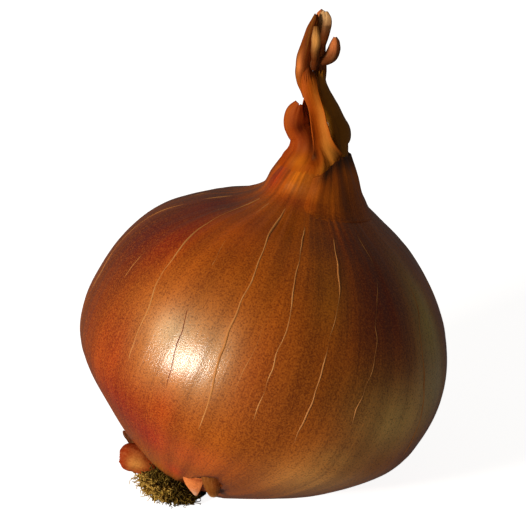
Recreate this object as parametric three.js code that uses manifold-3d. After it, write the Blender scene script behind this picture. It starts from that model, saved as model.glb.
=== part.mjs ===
// A shallot bulb lying on a small worn flat, with its withered neck, root plate, roots and torn skin curls.
// Millimetres, +Z up. The origin is on the resting flat, below the bulb's centre of mass.
import * as THREE from "three";
import { mergeVertices } from "three/addons/utils/BufferGeometryUtils.js";
import Module from "manifold-3d";

const wasm = await Module();
wasm.setup();

// Driving dimensions
const leanRight = 22.2; // degrees that the bulb's axis leans towards +X
const leanBack = 9.8; // degrees that it leans towards +Y
const baseOfAxis = new THREE.Vector3(-10.9, -3.1, 0.5); // where the axis meets the root end
const gap = 0.32; // clearance kept between neighbouring pieces
const groundClearance = 0.35; // lowest that a root or a curl comes, so that the bulb rests on its flat

// Colours, roughness
const skinFinish = { color: 0xa24d14, roughness: 0.42 };
const darkSkinFinish = { color: 0x4c2a0c, roughness: 0.6 };
const neckFinish = { color: 0xb5611e, roughness: 0.75 };
const tanFinish = { color: 0xb3814d, roughness: 0.85 };
const redSkinFinish = { color: 0x973a16, roughness: 0.6 };
const rootFinish = { color: 0x7a6228, roughness: 0.95 };

const degrees = THREE.MathUtils.degToRad;
const lean = new THREE.Matrix4().compose(
  baseOfAxis,
  new THREE.Quaternion().setFromEuler(new THREE.Euler(degrees(-leanBack), degrees(leanRight), 0)),
  new THREE.Vector3(1, 1, 1),
);

// ---- Small helpers ----

function vectors2(pairs) {
  return pairs.map(([r, w]) => new THREE.Vector2(r, w));
}

function vectors3(triples) {
  return triples.map(([x, y, z]) => new THREE.Vector3(x, y, z));
}

// The geometry with only shared positions left, and without the zero-area triangles at its poles
function closed(geometry) {
  const bare = geometry.clone();
  bare.deleteAttribute("normal");
  bare.deleteAttribute("uv");
  const merged = mergeVertices(bare, 1e-4);
  const corners = merged.index.array;
  const kept = [];
  for (let i = 0; i < corners.length; i += 3) {
    const [a, b, c] = corners.slice(i, i + 3);
    if (a !== b && b !== c && c !== a) kept.push(a, b, c);
  }
  merged.setIndex(kept);
  return merged;
}

function toSolid(geometry) {
  const merged = closed(geometry);
  return new wasm.Manifold(
    new wasm.Mesh({
      numProp: 3,
      vertProperties: new Float32Array(merged.attributes.position.array),
      triVerts: new Uint32Array(merged.index.array),
    }),
  );
}

function fromSolid(solid) {
  const mesh = solid.getMesh();
  const geometry = new THREE.BufferGeometry();
  geometry.setAttribute("position", new THREE.BufferAttribute(mesh.vertProperties, 3));
  geometry.setIndex(new THREE.BufferAttribute(mesh.triVerts, 1));
  geometry.computeVertexNormals();
  return geometry;
}

function named(name, geometry, finish) {
  const mesh = new THREE.Mesh(geometry, new THREE.MeshStandardMaterial(finish));
  mesh.name = name;
  return mesh;
}

// ---- The bulb: a round lopsided body, fuller on the side it leans to, drawn up into the neck ----

// Outline on the side that the bulb leans to, and on the far side: [radius, distance along the axis]
const leanSide = new THREE.SplineCurve(
  vectors2([
    [4.3, 0.6], [9.6, 3.2], [17.3, 7.6], [23.3, 13.4], [25.1, 18.0], [25.4, 23.5], [23.7, 28.8],
    [20.3, 33.4], [15.6, 37.2], [10.8, 39.6], [7.3, 41.4], [5.4, 43.4], [3.7, 45.0],
  ]),
);
const farSide = new THREE.SplineCurve(
  vectors2([
    [3.6, 2.0], [6.8, 3.5], [12.1, 7.7], [17.1, 12.5], [18.7, 17.0], [18.5, 22.0], [17.3, 26.7],
    [14.8, 31.0], [10.7, 34.4], [6.8, 36.6], [4.6, 38.6], [4.15, 41.0], [3.4, 43.5],
  ]),
);
const ringsAlongSkin = 34;
const stepsAround = 56;
const dimpleTop = 3.1; // how deep the root end is sunk, along the axis
const neckTop = 46.2; // where the solid neck closes

// A point given by its angle round the axis, radius and distance along the axis, in the part's frame
function onAxis(around, radius, along) {
  const x = radius * Math.cos(around);
  const y = radius * Math.sin(around);
  return new THREE.Vector3(x, y, along).applyMatrix4(lean);
}

// Share of the far side in the outline at an angle round the axis
function farShare(around) {
  return (1 - Math.cos(around)) / 2;
}

// Radius and distance along the axis of the skin, from 0 at the root rim to 1 at the neck
function skinAt(around, t) {
  return leanSide.getPoint(t).lerp(farSide.getPoint(t), farShare(around));
}

// The whole outline at an angle round the axis, from the sunken root end over the skin to the closed neck
function outlineAt(around) {
  const rim = skinAt(around, 0);
  const neck = skinAt(around, 1);
  const outline = vectors2([
    [0, dimpleTop],
    [rim.x - 0.9, dimpleTop - 0.2],
    [rim.x - 0.6, rim.y + 0.3],
  ]);
  for (let k = 0; k <= ringsAlongSkin; k += 1) outline.push(skinAt(around, k / ringsAlongSkin));
  outline.push(new THREE.Vector2(neck.x * 0.62, neckTop - 0.4));
  outline.push(new THREE.Vector2(0, neckTop));
  return outline;
}

// A turned body, whose outline then changes from the side it leans to, to the far side
function bulbGeometry() {
  const geometry = new THREE.LatheGeometry(outlineAt(0), stepsAround);
  const position = geometry.attributes.position;
  let vertex = 0;
  for (let i = 0; i <= stepsAround; i += 1) {
    const around = ((i % stepsAround) / stepsAround) * 2 * Math.PI;
    for (const ring of outlineAt(around)) {
      const point = onAxis(around, ring.x, ring.y);
      position.setXYZ(vertex, point.x, point.y, point.z);
      vertex += 1;
    }
  }
  return geometry;
}

// The skin is worn level where the bulb lies: everything below the origin's plane is cut off
function cutLevel(geometry) {
  const under = new THREE.BoxGeometry(120, 120, 20).translate(0, 0, -10);
  return fromSolid(toSolid(geometry).subtract(toSolid(under)));
}

const bulb = named("bulb", cutLevel(bulbGeometry()), skinFinish);

// ---- The collar: the torn top of the outermost skin, round the right and back of the neck ----

const collar = {
  from: degrees(274), // left edge, at the front
  to: degrees(440), // other edge, at the back
  low: 0.87, // lower edge on the skin, from 0 at the root rim to 1 at the neck
  corner: 0.96, // upper edge at the front corner
  peak: 1, // upper edge at the right, where it climbs on past the end of the neck
  pastNeck: 1.1,
  thickness: 0.28,
};

// How far the torn top edge has climbed, from 0 at its two ends to 1 at its peak at the right
function tornClimb(share) {
  const climb = Math.sin(Math.min(1, share / 0.4) * Math.PI * 0.5);
  return climb - THREE.MathUtils.smoothstep(share, 0.55, 1) + 0.06 * Math.sin(share * 31);
}

function collarGeometry() {
  const geometry = new THREE.BoxGeometry(1, 1, 1, 16, 4, 1);
  const position = geometry.attributes.position;
  for (let k = 0; k < position.count; k += 1) {
    const share = position.getX(k) + 0.5;
    const up = position.getY(k) + 0.5;
    const layer = position.getZ(k) + 0.5;
    const around = THREE.MathUtils.lerp(collar.from, collar.to, share);
    const climb = tornClimb(share);
    const top = THREE.MathUtils.lerp(collar.corner, collar.peak, Math.max(0, climb));
    const skin = skinAt(around, THREE.MathUtils.lerp(collar.low, Math.min(1, top), up));
    const radius = skin.x + gap + 0.12 + collar.thickness * layer - 0.3 * climb * up * up;
    const point = onAxis(around, radius, skin.y + 0.1 + collar.pastNeck * climb * up * up);
    position.setXYZ(k, point.x, point.y, point.z);
  }
  return geometry;
}

// ---- Dried leaves, skin curls and roots: closed strips and strands along a smooth route ----

// A cylinder laid along a curve. towards: what its front looks at; sectionAt(along), from 0 to 1, gives its
// half width, half thickness, how far its edges bend forward, and its twist in radians
function bodyAlong(curve, towards, sides, steps, sectionAt) {
  const geometry = new THREE.CylinderGeometry(1, 1, 1, sides, steps);
  const position = geometry.attributes.position;
  for (let k = 0; k < position.count; k += 1) {
    const across = position.getX(k);
    const along = position.getY(k) + 0.5;
    const through = position.getZ(k);
    const section = sectionAt(along);
    const tangent = curve.getTangent(along);
    const side = new THREE.Vector3().crossVectors(tangent, towards).normalize();
    side.applyAxisAngle(tangent, section.twist);
    const front = new THREE.Vector3().crossVectors(side, tangent);
    const forward = through * section.halfThickness + section.bend * across * across;
    const point = curve.getPoint(along);
    point.addScaledVector(side, across * section.halfWidth);
    point.addScaledVector(front, forward);
    position.setXYZ(k, point.x, point.y, point.z);
  }
  return geometry;
}

// route: points the strip's middle passes; widths: full width at even steps along it; facing: what its
// broad side looks towards; turn: degrees it twists from start to end; cup: how far its edges bend
// forward, as a share of its half width
function stripGeometry({ route, widths, thickness, facing, turn = 0, cup = 0 }) {
  const widthCurve = new THREE.SplineCurve(widths.map((width, k) => new THREE.Vector2(k, width)));
  const towards = new THREE.Vector3(...facing).normalize();
  return bodyAlong(new THREE.CatmullRomCurve3(vectors3(route)), towards, 10, 14, (along) => {
    const halfWidth = widthCurve.getPoint(along).y / 2;
    return {
      halfWidth,
      halfThickness: Math.min(thickness, halfWidth) / 2,
      bend: cup * halfWidth,
      twist: degrees(turn * along),
    };
  });
}

const viewerSide = [0, -1, 0.3];
const leaves = {
  neck_strand: {
    finish: neckFinish,
    route: [[6.4, -1.5, 41.7], [7.1, -1.1, 43.2], [7.2, 0.6, 44.6], [6.5, 2.0, 46.1], [6.0, 2.6, 47.7],
      [5.6, 3.0, 49.3], [5.3, 3.2, 50.8], [5.4, 3.2, 51.9]],
    widths: [1.0, 2.1, 2.3, 1.9, 1.7, 1.6, 1.5, 1.2],
    thickness: 1.2,
    facing: viewerSide,
    cup: -0.25,
  },
  neck_leaf_left: {
    finish: neckFinish,
    route: [[4.6, 2.2, 43.3], [4.1, 2.5, 44.4], [3.7, 2.8, 45.6], [3.8, 3.1, 46.9], [4.2, 3.3, 48.1]],
    widths: [2.7, 2.9, 3.0, 2.6, 1.0],
    thickness: 0.7,
    facing: viewerSide,
    cup: 0.7,
    turn: -25,
  },
  neck_leaf_right: {
    finish: darkSkinFinish,
    route: [[8.6, 5.0, 41.8], [9.0, 4.8, 43.2], [8.7, 4.5, 45.0], [8.0, 4.6, 47.0], [7.4, 4.7, 48.9],
      [7.0, 4.7, 50.3], [6.9, 4.7, 51.1]],
    widths: [1.4, 1.8, 1.7, 1.4, 1.1, 0.9, 0.8],
    thickness: 0.9,
    facing: viewerSide,
    cup: -0.5,
  },
  neck_leaf_back: {
    finish: neckFinish,
    route: [[6.0, 5.9, 43.7], [6.1, 6.3, 45.0], [6.0, 6.1, 46.8], [5.9, 5.5, 48.6], [5.8, 5.0, 50.2]],
    widths: [2.8, 3.0, 2.2, 1.5, 0.6],
    thickness: 0.7,
    facing: viewerSide,
    cup: 0.5,
  },
  neck_strip_left: {
    finish: neckFinish,
    route: [[4.3, 4.8, 49.2], [4.1, 4.6, 50.6], [4.1, 4.2, 52.0], [4.2, 3.8, 53.4], [4.6, 3.8, 55.0],
      [5.1, 3.8, 56.6], [5.8, 3.9, 58.6]],
    widths: [0.9, 1.1, 1.3, 1.3, 1.2, 1.1, 0.5],
    thickness: 0.8,
    facing: viewerSide,
    cup: 0.4,
  },
  neck_strip_mid: {
    finish: tanFinish,
    route: [[5.7, 2.9, 52.9], [5.8, 2.6, 54.2], [5.8, 2.5, 55.2], [5.9, 2.5, 56.2], [5.9, 2.7, 57.1],
      [5.9, 3.0, 57.8]],
    widths: [0.6, 0.8, 0.9, 1.0, 0.8, 0.4],
    thickness: 0.6,
    facing: viewerSide,
    cup: -0.3,
  },
  neck_tip: {
    finish: tanFinish,
    route: [[6.6, 4.6, 51.8], [6.4, 4.6, 53.2], [6.3, 4.6, 54.8], [6.5, 4.6, 56.4], [6.8, 4.5, 57.9],
      [6.9, 4.5, 59.2]],
    widths: [0.9, 1.1, 1.2, 1.5, 1.6, 0.6],
    thickness: 0.8,
    facing: viewerSide,
    cup: -0.4,
    turn: 20,
  },
  neck_hook: {
    finish: tanFinish,
    route: [[7.1, 3.7, 53.2], [7.6, 3.6, 53.8], [8.1, 3.5, 54.5], [8.2, 3.4, 55.1], [8.2, 3.4, 55.7],
      [8.2, 3.4, 56.2]],
    widths: [0.7, 1.0, 1.2, 1.2, 1.0, 0.4],
    thickness: 0.6,
    facing: [0, -1, 0.6],
    cup: 0.5,
  },
};

const curls = {
  skin_curl_left: {
    finish: redSkinFinish,
    route: [[-14.6, -3.5, 3.1], [-15.9, -3.7, 3.5], [-16.9, -4.1, 4.5], [-17.3, -4.3, 5.8]],
    widths: [2.4, 3.2, 3.0, 1.6],
    thickness: 0.5,
    facing: [-0.3, -0.7, 1],
    cup: 0.3,
  },
  skin_curl_front: {
    finish: redSkinFinish,
    route: [[-9.1, -13.9, 6.3], [-8.9, -13.2, 5.3], [-8.7, -12.7, 4.4], [-8.5, -12.5, 3.6]],
    widths: [2.2, 2.4, 1.7, 0.6],
    thickness: 0.5,
    facing: [0, -0.8, -0.5],
    cup: -0.2,
  },
  skin_curl_roll: {
    finish: darkSkinFinish,
    route: [[-6.5, -16.1, 7.5], [-6.2, -15.1, 6.1], [-5.9, -13.9, 4.8], [-5.7, -13.0, 3.8]],
    widths: [1.2, 1.7, 1.8, 1.0],
    thickness: 0.6,
    facing: [0, -0.8, -0.5],
    cup: -0.2,
  },
  skin_curl_back: {
    finish: redSkinFinish,
    route: [[-13.6, 1.6, 2.5], [-14.9, 3.0, 2.7], [-15.9, 4.2, 3.5], [-16.6, 4.9, 4.5]],
    widths: [2.0, 3.0, 2.6, 1.0],
    thickness: 0.5,
    facing: [-0.3, 0.5, 1],
    cup: 0.3,
  },
};

// ---- Root plate and roots ----

const plate = {
  radius: 2.5,
  low: 1.3, // lower face along the axis
  high: dimpleTop - gap - 0.2,
  bulge: 0.35, // the lower face is domed
};

function plateGeometry() {
  const { radius, low, high, bulge } = plate;
  const middle = (low + high) / 2;
  const outline = vectors2([
    [0, low - bulge],
    [radius * 0.6, low - bulge * 0.6],
    [radius * 0.93, low + bulge * 0.4],
    [radius, middle],
    [radius * 0.9, high - 0.15],
    [0, high],
  ]);
  return new THREE.LatheGeometry(outline, 24).rotateX(Math.PI / 2).applyMatrix4(lean);
}

const roots = {
  count: 13,
  firstAround: degrees(100), // from the back, round the left, to the front
  lastAround: degrees(284),
  radius: 0.24,
  outer: { start: 2.2, drop: 0.45, reach: 3.5, vary: 0.6 },
  inner: { start: 1.2, drop: 0.75, reach: 2.9, vary: 0.5 },
};

// Outer roots run out under the rim; inner ones, between them, start nearer the axis and lie lower
function rootRoute(index) {
  const around = THREE.MathUtils.lerp(roots.firstAround, roots.lastAround, index / (roots.count - 1));
  const isInner = index % 2 === 1;
  const kind = isInner ? roots.inner : roots.outer;
  const reach = kind.reach + kind.vary * Math.cos(index * 1.9);
  const start = onAxis(around, kind.start, plate.low - kind.drop);
  const lowest = groundClearance + roots.radius;
  const outward = new THREE.Vector3(Math.cos(around), Math.sin(around), 0);
  // How far the root has sunk from its start, a third, two thirds and all the way out
  const sinks = isInner ? [0.8, 3, 3] : [0.15, 0.7, 1.1];
  const route = sinks.map((sink, k) => {
    const point = start.clone().addScaledVector(outward, (reach * (k + 1)) / 3);
    point.z = Math.max(lowest, start.z - sink);
    return point;
  });
  return [start, ...route];
}

function rootGeometry(index) {
  const up = new THREE.Vector3(0, 0, 1);
  return bodyAlong(new THREE.CatmullRomCurve3(rootRoute(index)), up, 6, 8, (along) => {
    const thick = roots.radius * (1 - 0.55 * along);
    return { halfWidth: thick, halfThickness: thick, bend: 0, twist: 0 };
  });
}

// ---- The whole shallot ----

const shallot = new THREE.Group();
shallot.add(bulb);
shallot.add(named("neck_collar", collarGeometry(), darkSkinFinish));
for (const [name, piece] of Object.entries({ ...leaves, ...curls })) {
  shallot.add(named(name, stripGeometry(piece), piece.finish));
}
shallot.add(named("root_plate", plateGeometry(), rootFinish));
for (let index = 0; index < roots.count; index += 1) {
  const name = "root_" + String(index + 1).padStart(2, "0");
  shallot.add(named(name, rootGeometry(index), rootFinish));
}

export default shallot;
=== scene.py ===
import math
import random

import bmesh
import bpy
from mathutils import Matrix, Quaternion, Vector, noise


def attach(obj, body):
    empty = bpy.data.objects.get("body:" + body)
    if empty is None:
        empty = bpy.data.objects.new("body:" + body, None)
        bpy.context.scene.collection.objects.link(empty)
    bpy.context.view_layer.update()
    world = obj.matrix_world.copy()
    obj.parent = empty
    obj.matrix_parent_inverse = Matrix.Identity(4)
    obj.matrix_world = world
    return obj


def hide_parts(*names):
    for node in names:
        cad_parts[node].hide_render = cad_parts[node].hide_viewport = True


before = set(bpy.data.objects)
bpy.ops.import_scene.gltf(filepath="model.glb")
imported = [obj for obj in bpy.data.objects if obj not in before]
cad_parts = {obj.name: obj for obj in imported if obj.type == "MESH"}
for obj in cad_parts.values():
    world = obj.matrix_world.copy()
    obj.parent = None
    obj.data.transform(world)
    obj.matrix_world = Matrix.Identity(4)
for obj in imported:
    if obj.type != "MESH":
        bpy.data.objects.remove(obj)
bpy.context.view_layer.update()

mm = 0.001  # the values below are in millimetres and degrees, the scene is in metres
print("frame loaded:", len(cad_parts), "nodes")


def linear(hexColour):
    # sRGB hex to the linear colour that a shader takes
    shares = [int(hexColour[k : k + 2], 16) / 255 for k in (1, 3, 5)]
    return [s / 12.92 if s <= 0.04045 else ((s + 0.055) / 1.055) ** 2.4 for s in shares] + [1.0]


def smooth(low, high, value):
    share = min(1.0, max(0.0, (value - low) / (high - low)))
    return share * share * (3 - 2 * share)


def blend(a, b, share):
    return a + (b - a) * share


def along(points, share):
    # Catmull-Rom curve through evenly spaced points, numbers or tuples; share runs from 0 to 1
    points = [Vector(p) if isinstance(p, tuple) else p for p in points]
    place = min(1.0, max(0.0, share)) * (len(points) - 1)
    first = min(int(place), len(points) - 2)
    rest = place - first
    a, b, c, d = [points[min(len(points) - 1, max(0, first + k))] for k in (-1, 0, 1, 2)]
    start = (c - a) * 0.5
    end = (d - b) * 0.5
    cubic = (b * 2 - c * 2 + start + end) * rest ** 3
    square = (c * 3 - b * 3 - start * 2 - end) * rest ** 2
    return cubic + square + start * rest + b


def mixed(ground, patches, across, up, wholeWay=None):
    # Ground colour with soft patches over it: (across, up, reach across, reach up, share, colour).
    # wholeWay is the full way across, where the surface closes on itself
    colour = Vector(linear(ground))
    for middle, height, reach, reachUp, share, tone in patches:
        away = across - middle
        if wholeWay:
            away = (away + wholeWay / 2) % wholeWay - wholeWay / 2
        weight = share * math.exp(-((away / reach) ** 2) - ((up - height) / reachUp) ** 2)
        colour = colour.lerp(Vector(linear(tone)), weight)
    return colour


def waver(x, y=0.0, z=0.0):
    # Smooth noise, from about -0.5 to 0.5. A fixed y or z only picks another stretch of it
    return noise.noise(Vector((x, y, z)))


def placed(piece, nodes):
    # A piece of the visible part: it rides on the one body, and stands for these CAD nodes
    bpy.context.scene.collection.objects.link(piece)
    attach(piece, "root")
    if nodes:
        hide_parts(*nodes)


def finished(name, bm, material, nodes, grain=None, tint=None):
    # A piece from a bmesh. grain and tint hold each vertex's place on the fibres, in mm, and its colour
    mesh = bpy.data.meshes.new(name)
    bm.to_mesh(mesh)
    bm.free()
    if grain:
        values = mesh.attributes.new("grain", "FLOAT_VECTOR", "POINT")
        values.data.foreach_set("vector", [v for place in grain for v in place])
    if tint:
        values = mesh.attributes.new("tint", "FLOAT_COLOR", "POINT")
        values.data.foreach_set("color", [v for colour in tint for v in colour])
    mesh.shade_smooth()
    mesh.materials.append(material)
    piece = bpy.data.objects.new(name, mesh)
    placed(piece, nodes)
    return piece


def addWall(piece, thickness, offset):
    # Real thickness for a sheet, inwards with an offset of -1 and to both sides with 0
    wall = piece.modifiers.new("wall", "SOLIDIFY")
    wall.thickness = thickness * mm
    wall.offset = offset


# The view: a long lens, looking down at the bulb
view = {
    "distance": 350,
    "down": 26,
    "target": (0, 2.5, 25.3),
    "lens": 199.6,
    "shift": (-0.0038, 0.035),
    "nearest": 10,
}


def makeCamera():
    camera = bpy.data.objects.new("camera", bpy.data.cameras.new("camera"))
    target = Vector(view["target"]) * mm
    down = math.radians(view["down"])
    back = Vector((0, -math.cos(down), math.sin(down)))
    camera.location = target + back * view["distance"] * mm
    camera.rotation_euler = (-back).to_track_quat("-Z", "Y").to_euler()
    camera.data.lens = view["lens"]
    camera.data.shift_x, camera.data.shift_y = view["shift"]
    camera.data.clip_start = view["nearest"] * mm
    bpy.context.scene.collection.objects.link(camera)
    bpy.context.scene.camera = camera


makeCamera()


def addNode(material, kind, settings=None, links=None):
    # A shader node with its settings, by input or property name, and its incoming links
    tree = material.node_tree
    node = tree.nodes.new("ShaderNode" + kind)
    for name, value in (settings or {}).items():
        if isinstance(name, int) or name in node.inputs:
            node.inputs[name].default_value = value
        else:
            setattr(node, name, value)
    for name, source in (links or {}).items():
        tree.links.new(source, node.inputs[name])
    return node


def ranged(material, value, low, high, first=0.0, last=1.0):
    # From first to last while the value goes from low to high
    limits = {"From Min": low, "From Max": high, "To Min": first, "To Max": last}
    return addNode(material, "MapRange", limits, {"Value": value}).outputs[0]


def toned(material, share, first, last):
    # From one colour to another with the share
    tones = {"data_type": "RGBA", 6: linear(first), 7: linear(last)}
    return addNode(material, "Mix", tones, {0: share}).outputs[2]


def newMaterial(name, settings):
    material = bpy.data.materials.new(name)
    material.use_nodes = True
    shader = material.node_tree.nodes["Principled BSDF"]
    for setting, value in settings.items():
        shader.inputs[setting].default_value = value
    return material, shader, material.node_tree.links.new


# Lamp, world and floor
light = {
    "keyFrom": (-0.77, -0.63, 0.26),
    "keyDistance": 600,
    "keyWidth": 180,
    "keyHeight": 80,
    "keyRoll": 25,
    "keyPower": 3.55,
    "keyColour": "#fff8ec",
    "fill": 0.1,
    "fillColour": "#fff2e2",
    "floorColour": "#e6e6e6",
    "floorMirrored": "#484848",  # its colour in gloss
    "floorLift": 0.9,  # light that it adds for the camera, to be white outside the shadow
    "floorSize": 4000,
    # Shares of the white surroundings that show in gloss
    "worldInGloss": 0.0,
    "floorInGloss": 0.05,
}


def seenDirectly(material, inGloss):
    # 1 for camera and transmission rays, and a share of it for glossy rays
    path = addNode(material, "LightPath")
    gloss = {"operation": "MULTIPLY", 1: inGloss}
    mirrored = addNode(material, "Math", gloss, {0: path.outputs["Is Glossy Ray"]}).outputs[0]
    rays = {0: path.outputs["Is Camera Ray"], 1: path.outputs["Is Transmission Ray"]}
    direct = addNode(material, "Math", {"operation": "MAXIMUM"}, rays).outputs[0]
    return addNode(material, "Math", {"operation": "MAXIMUM"}, {0: direct, 1: mirrored}).outputs[0]


def makeLight():
    target = Vector(view["target"]) * mm
    lamp = bpy.data.lights.new("keyLamp", "AREA")
    lamp.shape = "RECTANGLE"
    lamp.size = light["keyWidth"] * mm
    lamp.size_y = light["keyHeight"] * mm
    lamp.energy = light["keyPower"]
    lamp.color = linear(light["keyColour"])[:3]
    key = bpy.data.objects.new("keyLamp", lamp)
    away = Vector(light["keyFrom"]).normalized()
    key.location = target + away * light["keyDistance"] * mm
    roll = Quaternion((0, 0, 1), math.radians(light["keyRoll"]))
    key.rotation_euler = ((-away).to_track_quat("-Z", "Y") @ roll).to_euler()
    key.visible_camera = False
    bpy.context.scene.collection.objects.link(key)


def makeWorld():
    world = bpy.data.worlds.new("studio")
    world.use_nodes = True
    bpy.context.scene.world = world
    background = world.node_tree.nodes["Background"]
    direct = seenDirectly(world, light["worldInGloss"])
    colour = toned(world, direct, light["fillColour"], "#ffffff")
    world.node_tree.links.new(colour, background.inputs["Color"])
    strength = ranged(world, direct, 0.0, 1.0, light["fill"])
    world.node_tree.links.new(strength, background.inputs["Strength"])


def makeFloor():
    # matt white paper sheet: no gloss, an even diffuse white
    dull = {"Roughness": 1.0, "Specular IOR Level": 0.0, "Emission Color": (1, 1, 1, 1)}
    material, shader, link = newMaterial("matt_white_paper", dull)
    mirrored = addNode(material, "LightPath").outputs["Is Glossy Ray"]
    link(toned(material, mirrored, light["floorColour"], light["floorMirrored"]), shader.inputs["Base Color"])
    direct = seenDirectly(material, light["floorInGloss"])
    lift = addNode(material, "Math", {"operation": "MULTIPLY", 1: light["floorLift"]}, {0: direct})
    link(lift.outputs[0], shader.inputs["Emission Strength"])
    bm = bmesh.new()
    bmesh.ops.create_grid(bm, x_segments=1, y_segments=1, size=light["floorSize"] * mm / 2)
    mesh = bpy.data.meshes.new("floor")
    bm.to_mesh(mesh)
    bm.free()
    mesh.materials.append(material)
    floor = bpy.data.objects.new("floor", mesh)
    bpy.context.scene.collection.objects.link(floor)


makeLight()
makeWorld()
makeFloor()
bpy.context.scene.view_settings.view_transform = "Standard"
print("camera, lamp and floor ready")


# What all dried skins have in common: their noises, and between which noise values each tone shows
driedSkin = {
    "fibreNoise": {"Scale": 1.0, "Detail": 3.0, "Roughness": 0.6},
    "speckNoise": {"Detail": 2.0, "Roughness": 0.6},
    "blotchNoise": {"Detail": 3.0, "Roughness": 0.55, "Distortion": 0.4},
    "blotches": (0.62, 0.3),
    "paleFibres": (0.52, 0.74),
    "darkFibres": (0.48, 0.28),
    "paleSpecks": (0.5, 0.66),
    "darkSpecks": (0.5, 0.34),
    "roughnessSpread": 0.07,
    "ior": 1.45,
}


def driedScale(name, look):
    # Base of every dried skin: the piece's tint, which on some pieces holds painted light and shade too, wide
    # blotches, pale and dark fibres along it, and specks
    surface = {
        "IOR": driedSkin["ior"],
        "Specular IOR Level": look["gloss"],
        "Specular Tint": linear(look["glossTint"]),
        "Coat Weight": look["coat"],
        "Coat Roughness": look["coatRoughness"],
    }
    material, shader, link = newMaterial(name, surface)
    tint = addNode(material, "Attribute", {"attribute_name": "tint"}).outputs["Color"]
    grain = addNode(material, "Attribute", {"attribute_name": "grain"}).outputs["Vector"]
    place = addNode(material, "TexCoord").outputs["Object"]
    width = 1 / look["fibreWidth"]
    scale = {"Scale": (width, width, 1 / look["fibreLength"])}
    stretched = addNode(material, "Mapping", scale, {"Vector": grain}).outputs[0]
    fibre = addNode(material, "TexNoise", driedSkin["fibreNoise"], {"Vector": stretched})
    fine = dict(driedSkin["speckNoise"], Scale=1 / mm / look["speckWidth"])
    speck = addNode(material, "TexNoise", fine, {"Vector": place})
    wide = dict(driedSkin["blotchNoise"], Scale=1 / mm / look["blotchWidth"])
    blotch = addNode(material, "TexNoise", wide, {"Vector": place})
    low, high = look["specksFade"]
    up = addNode(material, "SeparateXYZ", {}, {"Vector": place}).outputs["Z"]
    freckled = ranged(material, up, low * mm, high * mm, 1.0, look["specksLeft"])

    def share(source, pattern):
        # How much of a pattern's tone shows, up to what the look gives it
        return ranged(material, source.outputs["Fac"], *driedSkin[pattern], 0.0, look[pattern])

    def freckles(pattern):
        # The same for the specks, which fade towards the neck
        factors = {0: share(speck, pattern), 1: freckled}
        return addNode(material, "Math", {"operation": "MULTIPLY"}, factors).outputs[0]

    def over(under, tone, amount):
        settings = {"data_type": "RGBA", 7: linear(look[tone])}
        return addNode(material, "Mix", settings, {0: amount, 6: under}).outputs[2]

    colour = over(tint, "darkTone", share(blotch, "blotches"))
    colour = over(colour, "paleTone", share(fibre, "paleFibres"))
    colour = over(colour, "darkTone", share(fibre, "darkFibres"))
    colour = over(colour, "paleTone", freckles("paleSpecks"))
    colour = over(colour, "darkTone", freckles("darkSpecks"))
    link(colour, shader.inputs["Base Color"])

    weights = {"operation": "MULTIPLY_ADD", 1: look["speckRelief"]}
    height = addNode(material, "Math", weights, {0: speck.outputs["Fac"], 2: fibre.outputs["Fac"]})
    depth = {"Strength": 1.0, "Distance": look["relief"] * mm}
    bump = addNode(material, "Bump", depth, {"Height": height.outputs[0]})
    link(bump.outputs["Normal"], shader.inputs["Normal"])
    link(bump.outputs["Normal"], shader.inputs["Coat Normal"])
    smoothest, roughest = [look["roughness"] + way * driedSkin["roughnessSpread"] for way in (-1, 1)]
    rough = ranged(material, speck.outputs["Fac"], 0.0, 1.0, smoothest, roughest)
    link(rough, shader.inputs["Roughness"])
    return material


# Widths, lengths and relief in mm. blotches to darkSpecks: how much of each pattern's tone shows at most
skinLook = {
    "fibreWidth": 0.28,
    "fibreLength": 12.0,
    "speckWidth": 0.2,  # coarser than the skin's cells, so that they show
    "blotchWidth": 9.0,
    "blotches": 0.26,
    "paleFibres": 0.16,
    "darkFibres": 0.26,
    "paleSpecks": 0.34,
    "darkSpecks": 0.54,
    "specksFade": (35, 39),  # heights between which the specks fade towards the neck
    "specksLeft": 0.25,
    "paleTone": "#d07420",
    "darkTone": "#560e00",
    "relief": 0.018,
    "speckRelief": 1.2,  # against that of the fibres
    "roughness": 0.5,
    "gloss": 0.4,
    "glossTint": "#ffd890",
    "coat": 0.8,
    "coatRoughness": 0.21,
}


# The dry outermost scale of a shallot bulb: thin, satiny and brittle, with fibres from root to neck
skinMaterial = driedScale("shallot_outer_scale", skinLook)


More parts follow.
